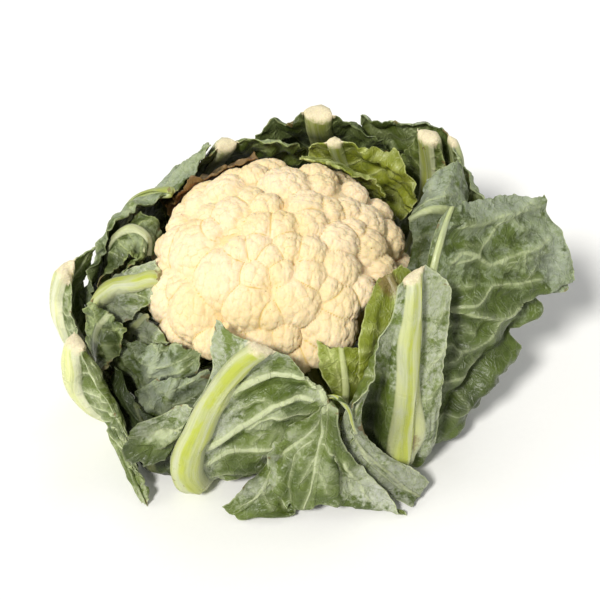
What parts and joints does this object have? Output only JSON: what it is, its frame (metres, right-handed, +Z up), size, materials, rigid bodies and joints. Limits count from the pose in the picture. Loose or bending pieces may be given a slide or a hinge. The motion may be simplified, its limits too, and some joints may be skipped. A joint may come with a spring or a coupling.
{
  "type": "cauliflower",
  "caption": "Trimmed head of cauliflower: a lumpy ivory curd on a short cut stalk, wrapped in thick-ribbed green leaves that are cut back and curled.",
  "frame": {"origin": "centre of the stalk's flat cut face, on the surface the head stands on", "axes": "+Z up through the middle of the curd, +X to the right of the side that shows most of the curd, towards the widest leaf, +Y to the back"},
  "size_m": [0.2919, 0.2355, 0.1367],
  "materials": {
    "curd": "matte, fine-grained, cream with ochre creases",
    "stalk": "dry cut plant stem, pale green and fibrous",
    "leaf_pale": "pale yellow-green leaf with a thick smooth rib",
    "leaf_green": "mid-green leaf, satin",
    "leaf_bloom": "grey-green leaf with a waxy bloom and pale veins",
    "leaf_dark": "dark olive-green leaf, satin",
    "leaf_dry": "dried brown leaf edge, papery"
  },
  "bodies": {
    "root": {"curd": "curd", "stalk": "stalk", "leaf_crown_strip": "leaf_pale", "leaf_dried": "leaf_dry", "leaf_small_front": "leaf_pale", "leaf_inner_front_right": "leaf_pale", "leaf_inner_back_right": "leaf_green", "leaf_left_band": "leaf_bloom", "leaf_left_rib": "leaf_pale", "leaf_left_curl": "leaf_green", "leaf_left_torn": "leaf_green", "leaf_back_left": "leaf_green", "leaf_low_left_inner": "leaf_bloom", "leaf_right_over": "leaf_bloom", "leaf_back": "leaf_dark", "leaf_back_right_stub": "leaf_green", "leaf_back_right_wrap": "leaf_bloom", "leaf_right_low": "leaf_dark", "leaf_left_back": "leaf_bloom", "leaf_low_left": "leaf_dark", "leaf_left_crumpled": "leaf_green", "leaf_left_outer": "leaf_green", "leaf_left_thick": "leaf_pale", "leaf_right": "leaf_bloom", "leaf_front_right": "leaf_pale", "leaf_front_left": "leaf_pale"}
  },
  "joints": []
}
